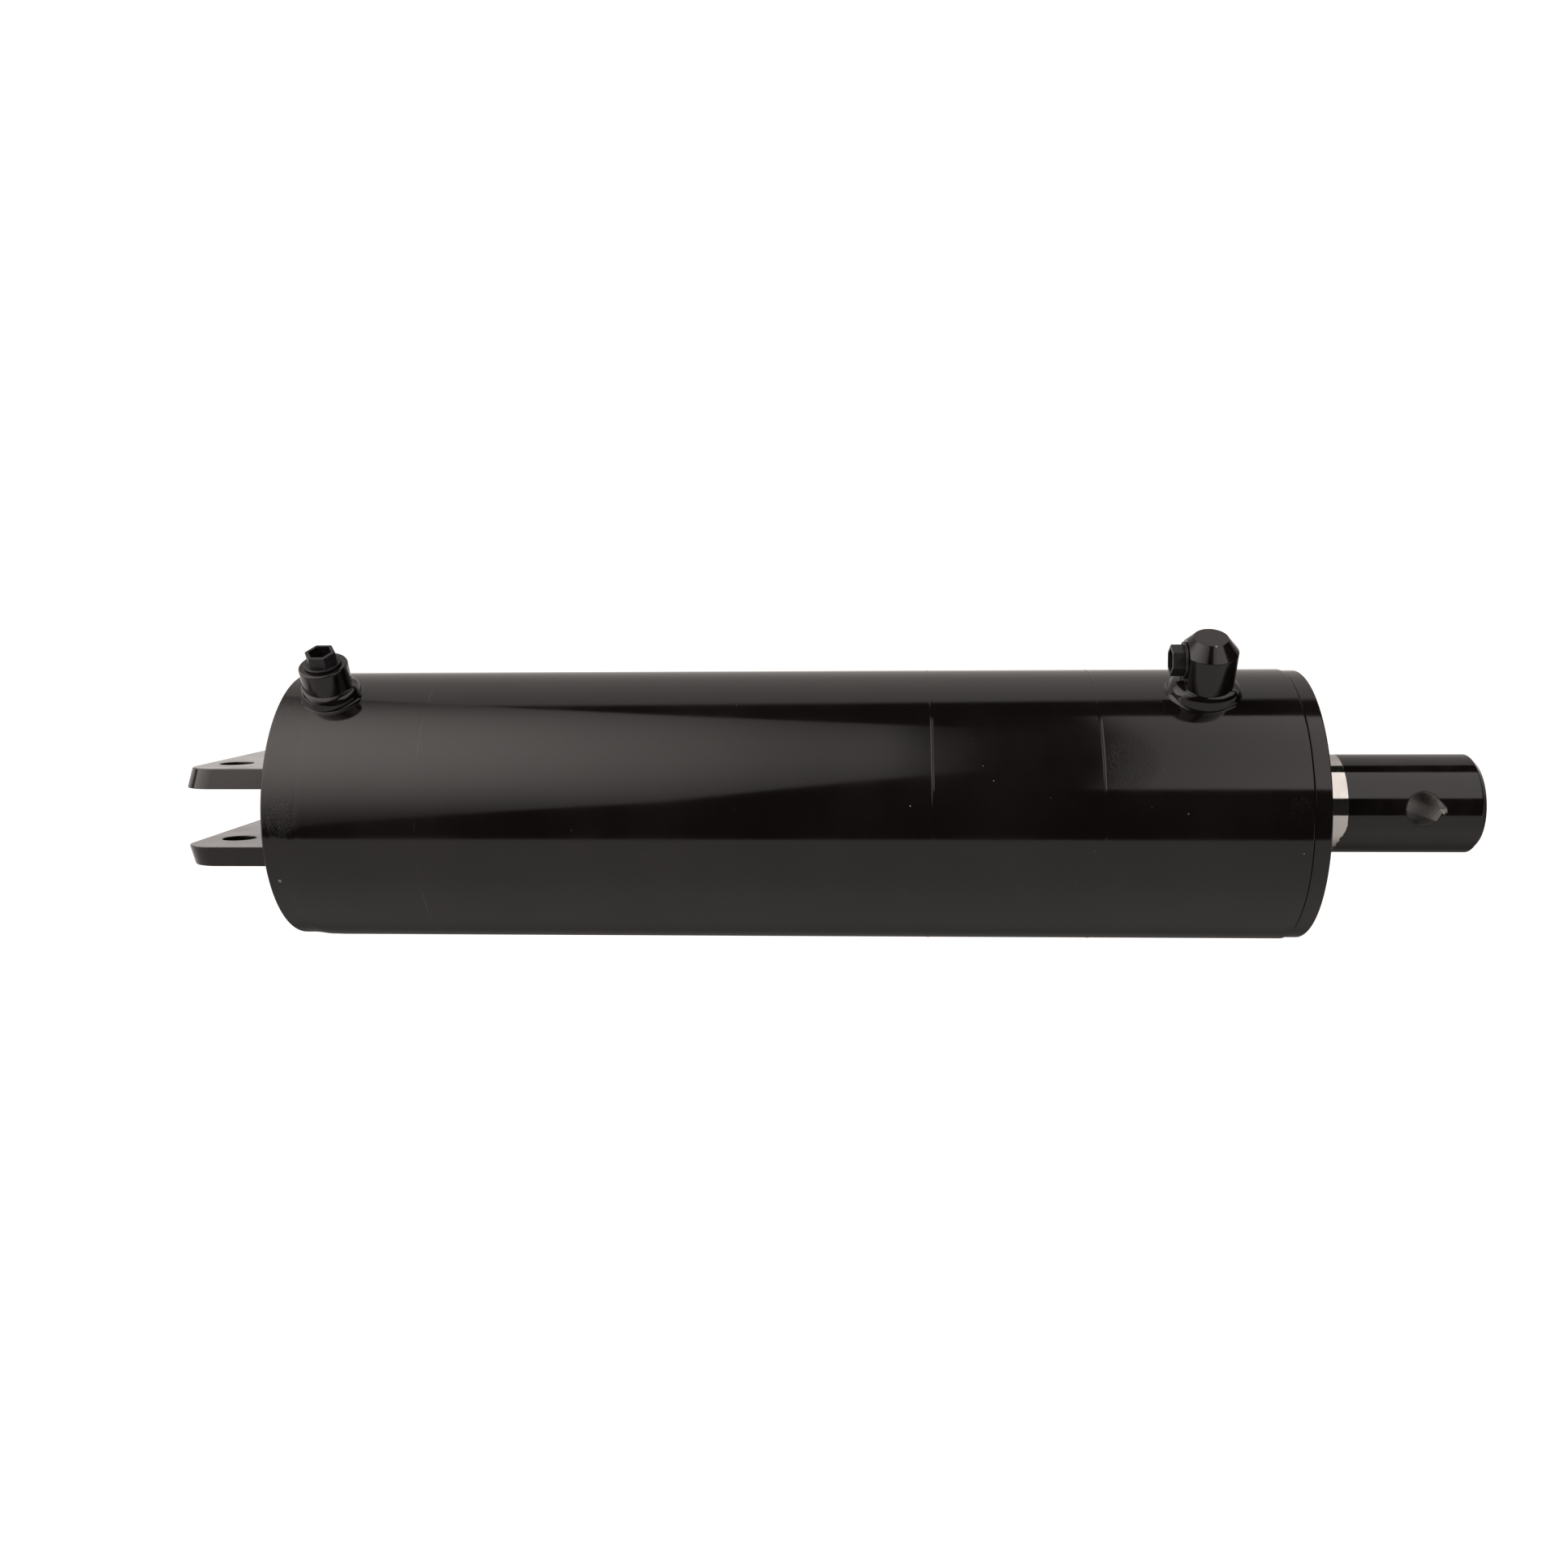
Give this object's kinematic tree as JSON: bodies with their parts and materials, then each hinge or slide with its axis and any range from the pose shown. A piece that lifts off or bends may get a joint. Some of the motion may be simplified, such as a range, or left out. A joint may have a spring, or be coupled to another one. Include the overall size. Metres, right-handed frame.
{
  "type": "hydraulic cylinder",
  "caption": "Welded double-acting hydraulic cylinder: black tube with bolted plate clevis, two plugged ports, screwed gland and a chromed rod with a cross-drilled painted end.",
  "frame": {"origin": "centre of the base clevis: on the line of its bolt holes, midway between its two plates, on the cylinder's axis, rod fully retracted", "axes": "+X along the cylinder's axis from the clevis towards the rod end, +Z square to the clevis plates and 30 degrees from the ports, -Y towards the side that the ports lean to"},
  "size_m": [0.6545, 0.1396, 0.161],
  "materials": {
    "black_paint": "gloss black enamel over steel",
    "rod_chrome": "hard chrome, polished; the outer end is painted gloss black",
    "black_plastic": "satin moulded black plastic",
    "plain_steel": "turned steel",
    "cast_iron": "turned cast iron",
    "rubber": "satin",
    "polyurethane": "satin, translucent blue",
    "wear_band": "woven phenolic resin, matt"
  },
  "bodies": {
    "barrel": {"barrel_tube": "black_paint", "base_cap": "black_paint", "base_weld": "black_paint", "clevis_plate_upper": "black_paint", "clevis_plate_lower": "black_paint", "clevis_weld_upper": "black_paint", "clevis_weld_lower": "black_paint", "base_port_boss": "black_paint", "base_port_weld": "black_paint", "rod_port_elbow": "black_paint", "rod_port_weld": "black_paint", "gland_head": "black_paint", "base_port_plug": "black_plastic", "rod_port_plug": "black_plastic", "gland_o_ring": "rubber", "gland_backup_ring": "wear_band", "rod_wear_ring": "wear_band", "rod_seal": "polyurethane", "rod_wiper": "polyurethane"},
    "piston_seals": {"piston_seal": "polyurethane", "piston_wear_ring_rear": "wear_band", "piston_wear_ring_front": "wear_band"},
    "rod": {"piston_rod": "rod_chrome", "piston": "cast_iron", "piston_o_ring": "rubber", "piston_nut": "plain_steel"}
  },
  "joints": [
    {"name": "rod_slide", "type": "slide", "parent": "barrel", "child": "piston_seals", "axis": [1, 0, 0], "range_m": [0, 0.3556]},
    {"name": "rod_swivel", "type": "hinge", "parent": "piston_seals", "child": "rod", "pos_m": [0.1, 0, 0], "axis": [1, 0, 0], "continuous": true}
  ]
}
